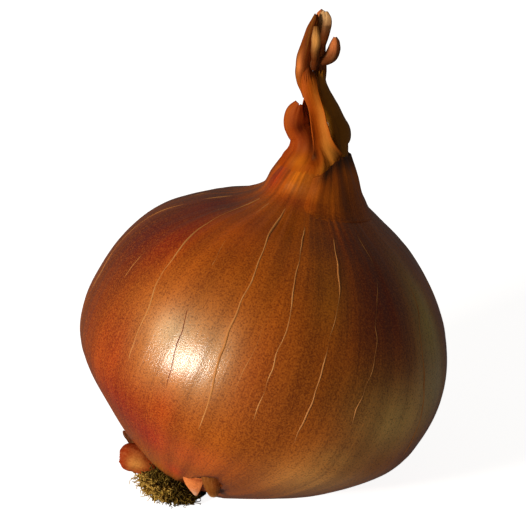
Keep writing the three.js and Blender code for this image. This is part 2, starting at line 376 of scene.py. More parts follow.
# The bulb: a round lopsided body on a leaning axis, fuller on the side it leans to, drawn up into the neck
bulb = {
    "leanRight": 22.2,
    "leanBack": 9.8,
    "baseOfAxis": (-10.9, -3.1, 0.5),
    # Outline on the side that it leans to and on the far side: radius, distance along the axis
    "leanSide": [
        (4.3, 0.6), (9.6, 3.2), (17.3, 7.6), (23.3, 13.4), (25.1, 18.0), (25.4, 23.5), (23.7, 28.8),
        (20.3, 33.4), (15.6, 37.2), (10.8, 39.6), (7.3, 41.4), (5.4, 43.4), (3.7, 45.0),
    ],
    "farSide": [
        (3.6, 2.0), (6.8, 3.5), (12.1, 7.7), (17.1, 12.5), (18.7, 17.0), (18.5, 22.0), (17.3, 26.7),
        (14.8, 31.0), (10.7, 34.4), (6.8, 36.6), (4.6, 38.6), (4.15, 41.0), (3.4, 43.5),
    ],
    "dimpleTop": 3.1,
    "dimpleSag": 0.2,
    "dimpleRim": 0.7,
    "neckTop": 42.6,
    "stepsAround": 300,
    # Rows: up to which share of the way to the neck, how far apart
    "rowSteps": [(0.165, 0.0016), (0.84, 0.0062), (1.0, 0.0042)],
    "capRows": 6,
    # Relief: height in mm, waves round the bulb, waves on the way up
    "waves": (0.2, 2.2, 3.5),
    "ribs": (0.07, 17, 2.5),
    "neckFolds": (0.6, 2.6, 3, 4),
    "neckStarts": (0.84, 0.97),
    "tornDepth": 0.6,
    "tornStep": 0.003,
    "tornRagged": (0.006, 0.35),  # in height, and waves for each degree
    # Lower edge of the outermost skin round the root end: direction, share of the way to the neck
    "tornEdge": [
        (0, 0.05), (60, 0.07), (110, 0.055), (160, 0.085), (209, 0.122), (229, 0.118), (238, 0.092),
        (252, 0.083), (264, 0.08), (269, 0.104), (273, 0.135), (276, 0.157), (279, 0.161), (283, 0.153),
        (288, 0.13), (299, 0.07), (330, 0.06), (360, 0.05),
    ],
    # tornRimShade: a painted shadow line under the torn edge of the outer skin. under: the inner skins below
    # that edge, their own dull brown darkened further with painted shade
    "tornRimShade": "#4c0f03",
    "tornRimWide": 0.013,
    "tornRimShare": 0.95,
    "under": "#6a1c04",
    "insideNeck": "#5a1c00",
    "ground": "#a95203",
    # Soft patches: direction, share of the way to the neck, reach of both, share of the colour, colour
    "patches": [
        (199, 0.55, 23, 0.16, 1.0, "#5a0200"),
        (196, 0.69, 22, 0.07, 0.9, "#740400"),
        (217, 0.59, 12, 0.09, 0.85, "#8c1800"),
        (203, 0.34, 14, 0.12, 0.7, "#7c2400"),
        (222, 0.37, 9, 0.06, 0.6, "#942800"),
        (230, 0.24, 20, 0.08, 0.9, "#981400"),
        (246, 0.2, 10, 0.04, 0.8, "#a40400"),
        (236, 0.49, 9, 0.1, 0.6, "#bc5a04"),
        (241, 0.68, 17, 0.08, 0.7, "#c45200"),
        # Pale zone round the highlight: partly the skin's own paler tan, partly a painted highlight halo
        (249, 0.415, 19, 0.095, 0.45, "#dca868"),
        (244, 0.43, 8, 0.042, 0.6, "#e0c8a0"),
        (259, 0.42, 7, 0.055, 0.5, "#d8b88c"),
        (250, 0.285, 8, 0.05, 0.75, "#a43600"),
        (273, 0.43, 8, 0.09, 0.65, "#963c00"),
        (225, 0.33, 8, 0.06, 0.6, "#a03000"),
        (264, 0.2, 12, 0.035, 0.7, "#d45618"),
        (291, 0.6, 7, 0.07, 0.75, "#c87610"),
        (305, 0.55, 7, 0.07, 0.55, "#7a3400"),
        (298, 0.43, 12, 0.07, 0.75, "#783c00"),
        (308, 0.46, 8, 0.07, 0.5, "#805000"),
        (304, 0.73, 10, 0.05, 0.5, "#8c2600"),
        (327, 0.71, 12, 0.07, 0.6, "#8a2c00"),
        (316, 0.61, 14, 0.11, 0.9, "#760600"),
        (333, 0.67, 8, 0.05, 0.2, "#8c5000"),
        # Pale grey-green band along the right edge: partly the skin's own colour, partly a painted reflection
        (337, 0.56, 9, 0.1, 0.95, "#ccb85c"),
        (337, 0.46, 10, 0.07, 0.95, "#ccbc88"),
        # Pale tan low on the right: painted light, the glow of light thrown up from the floor
        (321, 0.4, 13, 0.07, 0.9, "#e8be66"),
        (309, 0.31, 9, 0.035, 0.95, "#d09448"),
        (311, 0.24, 17, 0.06, 1.0, "#f0ac58"),
        (278, 0.2, 9, 0.04, 0.6, "#d66714"),
        (259, 0.13, 7, 0.025, 0.6, "#da2c00"),
        (289, 0.8, 9, 0.035, 0.45, "#3c0c00"),
        (262, 0.83, 30, 0.035, 0.7, "#8c2e00"),
        (214, 0.91, 22, 0.08, 0.85, "#9c2000"),
        (256, 0.94, 14, 0.05, 0.95, "#dc7404"),
        (300, 0.89, 16, 0.06, 0.7, "#b05a04"),
        (30, 0.5, 25, 0.2, 0.5, "#8c3408"),
        (85, 0.42, 30, 0.15, 0.5, "#9c4412"),
        (140, 0.58, 25, 0.18, 0.7, "#701c02"),
    ],
    # Streaks: how much brighter or darker, waves round the bulb, waves on the way up
    "brightness": 1.09,
    "streaks": (0.4, 9, 1.6),
    "neckStreaks": (0.6, 13, 2.5),
    "neckStreaksStart": (0.74, 0.9),
    # Size of the skin that the fibres are drawn on, round its middle and on the way up
    "grainRadius": 22,
    "grainHeight": 70,
}
leanTurn = Matrix.Rotation(math.radians(-bulb["leanBack"]), 4, "X") @ Matrix.Rotation(
    math.radians(bulb["leanRight"]), 4, "Y"
)
leanPlace = Matrix.Translation(Vector(bulb["baseOfAxis"])) @ leanTurn


def onAxis(degrees, radius, height):
    # A point given by its direction round the axis, radius and distance along the axis
    angle = math.radians(degrees)
    return leanPlace @ Vector((radius * math.cos(angle), radius * math.sin(angle), height)) * mm


def outline(degrees, share):
    farShare = (1 - math.cos(math.radians(degrees))) / 2
    return along(bulb["leanSide"], share).lerp(along(bulb["farSide"], share), farShare)


def between(stops, degrees):
    # Value at a direction, from a list of (direction, value)
    degrees %= 360
    for (low, first), (high, last) in zip(stops, stops[1:]):
        if low <= degrees <= high:
            return blend(first, last, smooth(low, high, degrees))


def tornShare(degrees):
    # Share of the way to the neck at which the outermost skin is torn off
    depth, waves = bulb["tornRagged"]
    return between(bulb["tornEdge"], degrees) + depth * waver(degrees * waves, 1.7)


def ripple(degrees, share, height, around, upwards, start=0):
    # Smooth noise on the skin: its height, and its waves round the axis and on the way up
    angle = math.radians(degrees)
    place = Vector((math.cos(angle), math.sin(angle), 0)) * around
    return height * noise.noise(place + Vector((0, 0, start + share * upwards)))


def relief(degrees, share):
    # How far the skin stands out from the plain outline, in mm
    towardsNeck = smooth(*bulb["neckStarts"], share)
    out = ripple(degrees, share, *bulb["waves"]) * (1 - towardsNeck)
    out += ripple(degrees, share, *bulb["ribs"])
    out += ripple(degrees, share, *bulb["neckFolds"]) * towardsNeck
    edge = tornShare(degrees)
    step = bulb["tornStep"]
    return out - bulb["tornDepth"] * smooth(edge + step, edge - step, share)


def skinPoint(degrees, share, out=0.0):
    # A point on the skin with its relief, raised by out
    step = 0.002  # to either side, for the slope
    here = outline(degrees, share)
    slope = outline(degrees, min(1, share + step)) - outline(degrees, max(0, share - step))
    square = Vector((slope.y, -slope.x)).normalized()
    here = here + square * (relief(degrees, share) + out)
    return onAxis(degrees, here.x, here.y)


def skinGrain(degrees, share):
    # Place on the skin's fibres, which run from root to neck
    angle = math.radians(degrees)
    radius = bulb["grainRadius"]
    return (radius * math.cos(angle), radius * math.sin(angle), bulb["grainHeight"] * share)


def skinShares():
    # Rows from the root rim to the neck, closer together at the torn edge and round the neck
    shares = [0.0]
    while shares[-1] < 1.0:
        step = next(step for limit, step in bulb["rowSteps"] if shares[-1] < limit)
        shares.append(min(1.0, shares[-1] + step))
    return shares


def skinTint(kind, degrees, share):
    # Patches and lengthwise streaks, with fine ones up the neck. Where the outermost skin is torn off it is
    # dark: partly the inner skins' own dull brown, partly painted shade, with a painted shadow line along the
    # torn edge
    above = share - tornShare(degrees)
    if kind == "neck":
        colour = Vector(linear(bulb["insideNeck"]))
    elif kind == "floor" or above < 0:
        colour = Vector(linear(bulb["under"]))
    else:
        colour = mixed(bulb["ground"], bulb["patches"], degrees, share, wholeWay=360)
        fine = ripple(degrees, share, *bulb["neckStreaks"]) * smooth(*bulb["neckStreaksStart"], share)
        colour = colour * (bulb["brightness"] + ripple(degrees, share, *bulb["streaks"]) + fine)
        # painted shadow line along the torn edge
        rim = bulb["tornRimShare"] * math.exp(-((above / bulb["tornRimWide"]) ** 2))
        colour = colour.lerp(Vector(linear(bulb["tornRimShade"])), rim)
    colour.w = 1
    return colour


def makeBulb():
    # A line of vertices, one for each row, is spun round the axis; each vertex then goes to its place
    caps = bulb["capRows"]
    rows = [("floor", k / caps) for k in range(caps + 1)]
    rows += [("skin", share) for share in skinShares()]
    rows += [("neck", (k + 1) / caps) for k in range(caps)]
    bm = bmesh.new()
    line = [bm.verts.new((0.0 if k in (0, len(rows) - 1) else 1.0, 0.0, k)) for k in range(len(rows))]
    edges = [bm.edges.new(pair) for pair in zip(line, line[1:])]
    turn = {"cent": (0, 0, 0), "axis": (0, 0, 1), "angle": 2 * math.pi, "use_merge": True}
    bmesh.ops.spin(bm, geom=line + edges, steps=bulb["stepsAround"], **turn)
    bmesh.ops.remove_doubles(bm, verts=bm.verts[:], dist=0.0001)
    grain = []
    tint = []
    for vertex in bm.verts:
        kind, share = rows[round(vertex.co.z)]
        degrees = math.degrees(math.atan2(vertex.co.y, vertex.co.x)) % 360
        skinShare = {"floor": 0.0, "skin": share, "neck": 1.0}[kind]
        if kind == "skin":
            vertex.co = skinPoint(degrees, share)
        elif kind == "floor":
            radius = (outline(degrees, 0).x - bulb["dimpleRim"]) * share
            vertex.co = onAxis(degrees, radius, bulb["dimpleTop"] - bulb["dimpleSag"] * share)
        else:
            top = outline(degrees, 1)
            angle = share * math.pi / 2
            radius = (top.x + relief(degrees, 1)) * math.cos(angle)
            vertex.co = onAxis(degrees, radius, blend(top.y, bulb["neckTop"], math.sin(angle)))
        vertex.co.z = max(0.0, vertex.co.z)
        grain.append(skinGrain(degrees, skinShare))
        tint.append(skinTint(kind, degrees, skinShare))
    bmesh.ops.recalc_face_normals(bm, faces=bm.faces[:])
    finished("bulb_skin", bm, skinMaterial, ["bulb"], grain, tint)


makeBulb()
print("bulb ready")


# Veins: thin threads that run from the root end to the neck, sunk so that little of each stands out
veins = {
    "radius": 0.12,
    "sunk": 0.07,
    "sunkAtEnds": 0.12,
    "thinAtEnds": 0.4,
    "fadesIn": 0.18,  # share of its length
    "fadesOut": 0.75,
    "kinks": (0.6, 30),  # in degrees, and waves on the way up
    "thickness": (0.9, 0.6, 16),  # its middle, how much it varies, and waves on the way up
    "pointsPerStop": 7,
    "colours": ("#b06428", "#dc9c58"),
    "furrowShadeColours": ("#6b2406", "#7d300c"),
    "patchWidth": 2.5,
    "roughness": 0.6,
    "gloss": 0.2,
    "seed": 7,
    # Those of the side that is seen most: thickness, then direction and share of the way to the neck
    "front": [
        (1.0, [(222, 0.85), (220, 0.8), (219, 0.73), (221, 0.64), (225.5, 0.56), (227, 0.5), (230.5, 0.44),
            (231, 0.38), (233, 0.3), (236, 0.22)]),
        (0.7, [(238, 0.84), (237, 0.75), (238.5, 0.65), (242.5, 0.585), (243, 0.53)]),
        (1.25, [(258, 0.87), (257.5, 0.8), (257.5, 0.74), (257, 0.69), (259, 0.64), (260, 0.59), (260, 0.56),
            (260.5, 0.52), (260.5, 0.48), (261, 0.44), (262.5, 0.385), (263.5, 0.33), (264, 0.25),
            (265.5, 0.16)]),
        (0.7, [(273.5, 0.6), (270.5, 0.54), (270, 0.49), (269, 0.43), (269, 0.375), (268.5, 0.3)]),
        (1.0, [(278, 0.8), (277.5, 0.76), (276.5, 0.71), (276, 0.665), (276, 0.61), (277, 0.55), (277, 0.5),
            (276.5, 0.46), (277, 0.41), (277, 0.35), (277, 0.27), (278, 0.2)]),
        (1.0, [(298, 0.79), (297, 0.75), (295, 0.69), (294.5, 0.63), (293.5, 0.595), (291.5, 0.54),
            (291, 0.5), (291, 0.45), (291, 0.4), (291, 0.33), (292, 0.26), (294, 0.2)]),
        (0.8, [(315, 0.82), (315.5, 0.775), (316.5, 0.7), (313, 0.635), (308.5, 0.58), (308.5, 0.54),
            (307.5, 0.5), (306, 0.46), (305, 0.41), (305, 0.34), (306, 0.28)]),
        (0.6, [(212, 0.8), (210, 0.7), (209, 0.62), (210, 0.5), (211.5, 0.43), (218, 0.35), (220.5, 0.3)]),
        (0.5, [(260, 0.563), (257, 0.567), (251.5, 0.569), (243, 0.58)]),
        (0.5, [(293.5, 0.59), (297.5, 0.59), (301.5, 0.592), (304, 0.58)]),
    ],
    # Dark threads along furrows where a strand has sunk in: their dark colour is painted shade, the skin
    # itself is not dented there
    "furrows": [
        (0.8, [(243.5, 0.5), (244, 0.482), (246, 0.441), (246.5, 0.414), (247.5, 0.386), (248.5, 0.349),
            (249.5, 0.316), (250, 0.28)]),
    ],
    # The hidden sides, filled evenly: first and last direction, how far apart, and how far each strays to
    # either side of its own direction
    "back": (332, 556, 15, 3.5),
    "backTop": (0.74, 0.82),
    "backStop": 0.075,
    "backStops": 8,
    "backThickness": (0.5, 1.0),
}


def veinMaterial(name, colours):
    # the bulb scale's own vascular strands: the same dried tissue, paler and dull; the darker ones carry the
    # painted shade of furrows
    dull = {"Roughness": veins["roughness"], "Specular IOR Level": veins["gloss"]}
    material, shader, link = newMaterial(name, dull)
    place = addNode(material, "TexCoord").outputs["Object"]
    noises = {"Scale": 1 / mm / veins["patchWidth"], "Detail": 2.0}
    patchy = addNode(material, "TexNoise", noises, {"Vector": place})
    link(toned(material, patchy.outputs["Fac"], *colours), shader.inputs["Base Color"])
    return material


def newThreads(name, radius, roundness, materials):
    # A curve object for many threads, each a spline of its own
    curve = bpy.data.curves.new(name, "CURVE")
    curve.dimensions = "3D"
    curve.bevel_depth = radius * mm
    curve.bevel_resolution = roundness
    curve.use_fill_caps = True
    for material in materials:
        curve.materials.append(material)
    return curve


def addVein(curve, stops, thickness, rng, finish=0):
    # One thread through the stops, thinner towards its ends, with small kinks of its own
    count = veins["pointsPerStop"] * len(stops)
    thread = curve.splines.new("POLY")
    thread.material_index = finish
    thread.points.add(count - 1)
    phase = rng.uniform(0, 50)
    kink, kinks = veins["kinks"]
    middle, varies, waves = veins["thickness"]
    for k in range(count):
        share = k / (count - 1)
        degrees, height = along(stops, share)
        degrees += kink * waver(phase, kinks * height)
        ends = smooth(0, veins["fadesIn"], share) * smooth(1, veins["fadesOut"], share)
        sunk = blend(veins["sunkAtEnds"], veins["sunk"], ends)
        thread.points[k].co = (*skinPoint(degrees, height, -sunk), 1)
        patchy = middle + varies * waver(phase, waves * height, 5)
        thread.points[k].radius = thickness * patchy * blend(veins["thinAtEnds"], 1.0, ends)


def makeVeins():
    rng = random.Random(veins["seed"])
    paleVein = veinMaterial("dried_vein", veins["colours"])
    furrowShadeVein = veinMaterial("furrow_shade_vein", veins["furrowShadeColours"])
    curve = newThreads("skin_veins", veins["radius"], 1, [paleVein, furrowShadeVein])
    for thickness, stops in veins["front"]:
        addVein(curve, stops, thickness, rng)
    for thickness, stops in veins["furrows"]:
        addVein(curve, stops, thickness, rng, finish=1)
    first, last, apart, strays = veins["back"]
    for middle in range(first, last, apart):
        wander = [middle + rng.uniform(-strays, strays) for _ in range(veins["backStops"])]
        top = rng.uniform(*veins["backTop"])
        stops = [(degrees, top - k * veins["backStop"]) for k, degrees in enumerate(wander)]
        addVein(curve, stops, rng.uniform(*veins["backThickness"]), rng)
    placed(bpy.data.objects.new("skin_veins", curve), [])


makeVeins()
print("veins ready")


# Collar: the torn top of the outermost skin, which stands round the right and back of the neck
collar = {
    "from": 268,
    "to": 446,
    "low": 0.78,
    # Its torn edge: where it starts at the front corner, how steeply it climbs, the share of its way round at
    # which it peaks, and where it falls away at the back
    "corner": 0.925,
    "steepness": 1.6,
    "peak": 0.4,
    "falls": (0.55, 1.0),
    "ragged": (0.08, 22),  # in height, and waves on the way round
    "endsFade": 0.1,
    "thickness": 0.16,
    "buried": 0.17,
    "standOff": 0.5,
    "standsBy": 0.28,  # share of the way up by which it stands off
    "crease": (0.2, 16, 0.8),  # in mm, waves on the way round and up
    "creaseStarts": (0.14, 0.3),
    "creasedBy": 0.4,
    "closesFrom": 0.5,  # share of the climb from which it reaches past the neck and closes in on it
    "pastNeck": 1.2,
    "closesIn": 0.62,
    "lift": 0.1,
    "darkShare": 0.9,
    "darkStarts": (0.25, 0.85),
    "dark": "#a44c04",
    # paintedLightRight: the collar lighter towards the right, where it turns from the lamp: painted light
    "paintedLightRight": "#c8680a",
    "rightStarts": (308, 330),
    # rim: the dark band below the torn edge, partly the brittle edge's own dark brown, partly painted shade
    "rim": "#2a1204",
    "rimShare": 0.95,
    "rimStarts": (0.66, 0.95),
    "rimFrom": (0.03, 0.12),
}
# Torn edge of the outer scale, dried dark brown and brittle where it dies back round the neck
collarLook = dict(skinLook, darkFibres=0.34, gloss=0.35, coat=0.5)
collarMaterial = driedScale("torn_outer_scale", collarLook)


def tornClimb(share):
    # How far the torn edge has climbed, from 0 at the front corner to 1 at its peak on the right
    ragged, waves = collar["ragged"]
    rise = math.sin(min(1.0, share / collar["peak"]) * math.pi / 2)
    return max(0.0, rise - smooth(*collar["falls"], share)) + ragged * waver(share * waves, 3)


def makeCollar():
    bm = bmesh.new()
    bmesh.ops.create_grid(bm, x_segments=110, y_segments=40, size=1)
    grain = []
    tint = []
    fades = collar["endsFade"]
    creased, around, upwards = collar["crease"]
    for vertex in bm.verts:
        share, up = (vertex.co.x + 1) / 2, (vertex.co.y + 1) / 2
        degrees = blend(collar["from"], collar["to"], share)
        climb = tornClimb(share)
        top = min(1.0, blend(collar["corner"], 1.0, collar["steepness"] * climb))
        height = blend(collar["low"], top, up)
        ends = smooth(0.0, fades, share) * smooth(1.0, 1.0 - fades, share)
        stand = blend(-collar["buried"], collar["standOff"], smooth(0.0, collar["standsBy"], up) * ends)
        crease = creased * waver(share * around, up * upwards, 9)
        crease *= smooth(0, collar["creasedBy"], up) * smooth(*collar["creaseStarts"], share) * ends
        above = smooth(collar["closesFrom"], 1.0, climb) * up * up
        skin = outline(degrees, height)
        radius = skin.x + relief(degrees, height) + stand + crease - collar["closesIn"] * above
        lift = (collar["lift"] + collar["pastNeck"] * above) * ends
        vertex.co = onAxis(degrees, radius, skin.y + lift)
        grain.append(skinGrain(degrees, height))
        # lighter towards the right: painted light
        side = smooth(*collar["rightStarts"], degrees)
        dark = Vector(linear(collar["dark"])).lerp(Vector(linear(collar["paintedLightRight"])), side)
        darkened = collar["darkShare"] * smooth(*collar["darkStarts"], up)
        colour = skinTint("skin", degrees, height).lerp(dark, darkened)
        # dark band below the torn edge: partly its own dark brown, partly painted shade
        rim = collar["rimShare"] * smooth(*collar["rimStarts"], up) * smooth(*collar["rimFrom"], share)
        tint.append(colour.lerp(Vector(linear(collar["rim"])), rim))
    piece = finished("torn_collar", bm, collarMaterial, ["neck_collar"], grain, tint)
    addWall(piece, collar["thickness"], -1)


makeCollar()
print("collar ready")


# Dried leaves of the neck, with values at even steps along each leaf. route: what the middle of the roll
# follows; wide: its visible width; curl: how far it is rolled up, in degrees. start, turn: its twist at the
# foot, and from there to the end. ragged: share of its length that is torn off unevenly. grows: how it parts
# from the bulb's skin, as first and last direction, share of the way to the neck at its foot, and the shares
# of its length by which it starts to part and is free
viewerSide = (0, -1, 0.3)
leaves = {
    "neck_strand": {
        "route": [(7.4, -0.4, 39.0), (7.6, 0.4, 40.1), (7.5, 0.8, 41.0), (7.1, 0.8, 42.1), (6.8, 0.9, 43.2),
            (6.6, 1.3, 44.2), (6.4, 1.5, 45.2), (6.2, 1.8, 46.1), (6.0, 2.2, 47.2), (5.7, 2.6, 48.2),
            (5.3, 2.9, 49.3), (5.1, 3.1, 50.3), (5.0, 3.3, 51.2), (5.0, 3.5, 52.0), (5.1, 3.7, 52.7)],
        "wide": [5.6, 5.0, 4.5, 3.6, 2.9, 2.3, 2.1, 1.9, 1.8, 1.7, 1.8, 1.8, 1.6, 1.0, 0.3],
        "curl": [-78, -78, -70, -40, 20, 60, 80, 70, 40, -10, -50, -80, -100, -110, -110],
        "finish": "sheath",
        "ground": "#b85206",
        # Patches: the pale ridge on the right and the darker left side are partly the fibres' own tone,
        # partly a painted highlight and painted shade; the bright foot is painted light where the left leaf's
        # shadow falls; the dark streak at the left edge is painted shade in the slit between the leaves
        "patches": [(0.45, 0.3, 0.5, 0.25, 0.8, "#d4802c"), (0.6, 0.6, 0.35, 0.35, 0.6, "#d47c28"),
            (-0.7, 0.5, 0.4, 0.5, 0.6, "#a83a02"), (-0.1, 0.12, 0.35, 0.09, 1.0, "#ffa034"),
            (0.0, 1.0, 3, 0.12, 1.0, "#5a1c00"), (0.2, 0.26, 0.4, 0.08, 0.8, "#f09838"),
            (-0.85, 0.255, 0.26, 0.075, 1.0, "#2c0600")],
        "grows": (256, 350, 0.9, 0.17, 0.36),
    },
    "neck_leaf_left": {
        "route": [(2.1, 0.8, 39.2), (2.9, 1.2, 40.5), (3.6, 1.6, 41.6), (4.0, 2.2, 42.6), (4.1, 2.5, 43.9),
            (3.7, 2.7, 44.7), (3.4, 2.8, 45.5), (3.4, 2.9, 46.4), (3.6, 3.0, 47.3), (4.0, 3.1, 48.2)],
        "wide": [4.6, 4.2, 3.8, 3.3, 3.0, 3.0, 3.1, 3.0, 2.4, 1.1],
        "curl": [-69, -72, -80, -90, -100, -110, -120, -120, -120, -120],
        "turn": 10,
        "start": -25,
        "finish": "sheath",
        "ground": "#a03a04",
        # The dark red patches on its right side are painted shade in the hollow between this leaf and the
        # strand
        "patches": [(-0.6, 0.85, 0.35, 0.4, 0.35, "#c86a20"), (0.42, 0.62, 0.38, 0.16, 1.0, "#460800"),
            (0.75, 0.9, 0.5, 0.25, 0.9, "#6a1400"), (0.85, 0.42, 0.3, 0.12, 1.0, "#3c0e00"),
            (0.35, 0.24, 0.4, 0.1, 0.9, "#d87414")],
        "ragged": 0.08,
        "grows": (176, 270, 0.9, 0.26, 0.5),
    },
    "neck_leaf_right": {
        "route": [(8.9, 2.6, 41.4), (8.8, 3.0, 42.4), (8.7, 3.1, 42.9), (8.6, 3.4, 43.5), (8.5, 3.8, 44.2),
            (8.2, 4.1, 45.0), (7.9, 4.4, 45.8), (7.6, 4.5, 46.8), (7.2, 4.6, 47.8), (6.9, 4.6, 48.8),
            (6.6, 4.6, 49.9), (6.5, 4.6, 51.0), (6.5, 4.6, 51.8)],
        "wide": [1.8, 2.1, 2.5, 3.1, 3.4, 3.2, 2.9, 2.5, 2.1, 1.6, 1.3, 1.1, 1.0],
        "curl": [-200, -210, -220, -230, -240, -250, -260],
        "turn": 20,
        "start": 15,
        "finish": "dark",
        # Its ground, and the patch at its top, are lightened to make up for the shade on this side, away from
        # the lamp: painted light
        "ground": "#985e08",
        "patches": [(0, 1.0, 3, 0.14, 0.2, "#e08020")],
    },
    "neck_leaf_back": {
        "route": [(5.2, 3.4, 41.8), (5.4, 3.9, 42.9), (5.8, 4.3, 44.0), (5.8, 4.6, 45.1), (5.6, 4.8, 46.3),
            (5.3, 4.9, 47.5), (5.4, 4.9, 48.8)],
        "wide": [4.6, 4.2, 4.1, 3.7, 2.9, 1.9, 1.2],
        "curl": [100, 100, 100, 100, 90, 90],
        "finish": "dark",
        # Its ground is lightened to make up for the shade in the hollow behind the front leaves: painted
        # light
        "ground": "#c04800",
        "patches": [],
    },
    "neck_strip_left": {
        "route": [(4.9, 4.2, 48.5), (4.7, 4.3, 49.3), (4.4, 4.3, 50.3), (4.3, 4.2, 51.4), (4.4, 4.0, 52.4),
            (4.5, 3.9, 53.5), (4.8, 3.8, 54.8), (5.0, 3.8, 56.0), (5.3, 3.8, 57.2), (5.7, 3.9, 58.2),
            (5.9, 4.0, 58.9)],
        "wide": [0.9, 1.1, 1.4, 1.7, 1.8, 1.8, 1.6, 1.2, 1.0, 0.7, 0.3],
        "curl": [-200, -210, -220, -220, -200, -180],
        "turn": -20,
        "finish": "leaf",
        "ground": "#5e2408",
        "patches": [(-0.25, 0.42, 0.22, 0.13, 1.0, "#ee8844"), (-0.3, 0.16, 0.5, 0.16, 0.9, "#b05412"),
            (-0.5, 0.75, 0.3, 0.3, 0.7, "#94480f")],
    },
    "neck_strip_mid": {
        "route": [(5.6, 3.8, 52.2), (5.8, 3.4, 53.3), (5.8, 2.9, 54.1), (5.8, 2.6, 55.0), (5.9, 2.5, 55.8),
            (5.9, 2.5, 56.5), (5.9, 2.7, 57.2), (5.9, 3.0, 57.8)],
        "wide": [1.0, 0.8, 0.8, 0.9, 1.0, 1.0, 0.8, 0.5],
        "curl": [-200, -180, -160, -150, -150, -160],
        "turn": 15,
        "finish": "pale",
        "ground": "#4a1804",
        "patches": [(0.1, 0.7, 0.9, 0.26, 1.0, "#f0a858")],
    },
    "neck_tip": {
        "route": [(6.4, 4.9, 49.6), (6.4, 4.9, 50.7), (6.3, 4.8, 51.9), (6.1, 4.8, 52.9), (6.0, 4.7, 53.9),
            (6.0, 4.7, 54.9), (6.2, 4.6, 55.9), (6.4, 4.6, 56.9), (6.6, 4.6, 57.8), (6.7, 4.5, 58.6),
            (6.8, 4.5, 59.2)],
        "wide": [0.9, 1.3, 1.6, 1.7, 1.8, 1.8, 1.9, 2.0, 2.0, 1.7, 0.8],
        "curl": [-170, -150, -130, -110, -90, -80],
        "turn": -30,
        "finish": "pale",
        "ground": "#6a2c0a",
        # The pale top is partly the bleached tip's own tan, partly painted light; the orange patch on the
        # left side is painted light where the strips' shadow falls
        "patches": [(0.3, 1.0, 0.9, 0.2, 1.0, "#f8c888"), (-0.9, 0.9, 0.4, 0.25, 0.9, "#e87838")],
    },
    "neck_hook": {
        "route": [(6.5, 4.0, 53.0), (7.1, 3.8, 53.4), (7.6, 3.6, 53.9), (7.9, 3.5, 54.6), (8.0, 3.4, 55.2),
            (8.1, 3.4, 55.8), (8.1, 3.4, 56.3)],
        "wide": [1.0, 1.3, 1.4, 1.3, 1.1, 0.8, 0.3],
        "curl": [-180, -190, -200, -190, -160],
        "finish": "pale",
        "ground": "#4a1c08",
        "patches": [(0.0, 0.8, 0.8, 0.36, 1.0, "#dc7c44")],
    },
}
leafLook = dict(
    skinLook, fibreWidth=0.3, fibreLength=5.0, speckWidth=0.25, blotchWidth=3.0, relief=0.04,
    paleFibres=0.25, darkFibres=0.4, paleSpecks=0.12, darkSpecks=0.25,
    paleTone="#e09830", darkTone="#742800", roughness=0.65, gloss=0.2, coat=0.0,
)
paleLook = dict(leafLook, paleFibres=0.12, darkFibres=0.3, paleTone="#eebc80", darkTone="#8a4414")
darkLook = dict(
    skinLook, paleFibres=0.2, darkFibres=0.3, darkSpecks=0.35, paleTone="#b06c10", darkTone="#3c1400",
    gloss=0.3, coat=0.3,
)
sheathLook = dict(skinLook, paleSpecks=0.14, darkSpecks=0.22, roughness=0.6, gloss=0.3, coat=0.0)
tornLook = dict(leafLook, paleTone="#e89a5a", darkTone="#7a2408", roughness=0.55, gloss=0.3, darkFibres=0.3)
leafFinishes = {
    # withered leaf bases rolled up at the neck: fibrous, matt and orange brown
    "leaf": (driedScale("withered_leaf", leafLook), "neck_leaf"),
    # leaf bases that grow out of the scale at the neck: the same skin, duller
    "sheath": (driedScale("neck_sheath", sheathLook), "neck_leaf"),
    # leaves that died back with the outer scale: dark brown, brittle and nearly matt
    "dark": (driedScale("dark_withered_leaf", darkLook), "collar_skin"),
    # the weathered ends of the leaves: bleached tan, fibrous and matt
    "pale": (driedScale("weathered_leaf_tip", paleLook), "pale_leaf"),
    # torn flaps of the outer scale round the root end: thin, red brown outside, orange inside
    "torn": (driedScale("torn_scale_flap", tornLook), "torn_skin"),
}


# What the dried leaves have in common
leafShape = {
    "across": 30,
    "lengthways": 72,
    "thickness": 0.16,
    "ragged": 0.2,
    "tears": 3,  # waves across
    "tornFrom": 0.6,
    "lopsided": 0.1,
    # Wrinkles: depth in mm, more of it on wide leaves, and the share of the way up by which they are full
    "wrinkle": 0.1,
    "wrinkleByWidth": (0.4, 0.3),
    "wrinkledBy": 0.25,
    "wrinkles": [(1.0, 4.5, 2.2, 0), (0.5, 11, 3.5, 5)],  # share, waves across, waves up, stretch of noise
    "grainLength": 10,
}
# Where a leaf grows from the skin: how deep its edges and its foot are sunk in, how far it stands off where
# it parts, the share of its width that the edges take, and where the edges come free and the leaf turns off
# to its route, as shares of the length by which it parts
foot = {"sunk": 0.2, "standOff": 0.02, "edges": 0.2, "edgesFree": 0.5, "turnsOff": 0.8}


def grown(leaf, side, up, point, colour):
    # Point and colour of a leaf's foot, which lies on the bulb's skin and goes on upwards as the skin did
    first, last, low, parting, free = leaf["grows"]
    degrees = blend(first, last, (side + 1) / 2)
    height = blend(low, 1.0, up / parting)
    loose = smooth(foot["edgesFree"] * parting, parting, up)
    edges = blend(smooth(1.0, 1.0 - foot["edges"], abs(side)), 1.0, loose)
    out = blend(-foot["sunk"], foot["standOff"], smooth(0, parting, up) * edges)
    step = 0.05  # down from the neck's top, for the slope there
    rise = (skinPoint(degrees, 1.0) - skinPoint(degrees, 1 - step)) / step
    under = skinPoint(degrees, min(1.0, height), out) + rise * max(0.0, height - 1)
    point = under.lerp(point, smooth(foot["turnsOff"] * parting, free, up))
    return point, skinTint("skin", degrees, height).lerp(colour, smooth(0.0, parting, up))


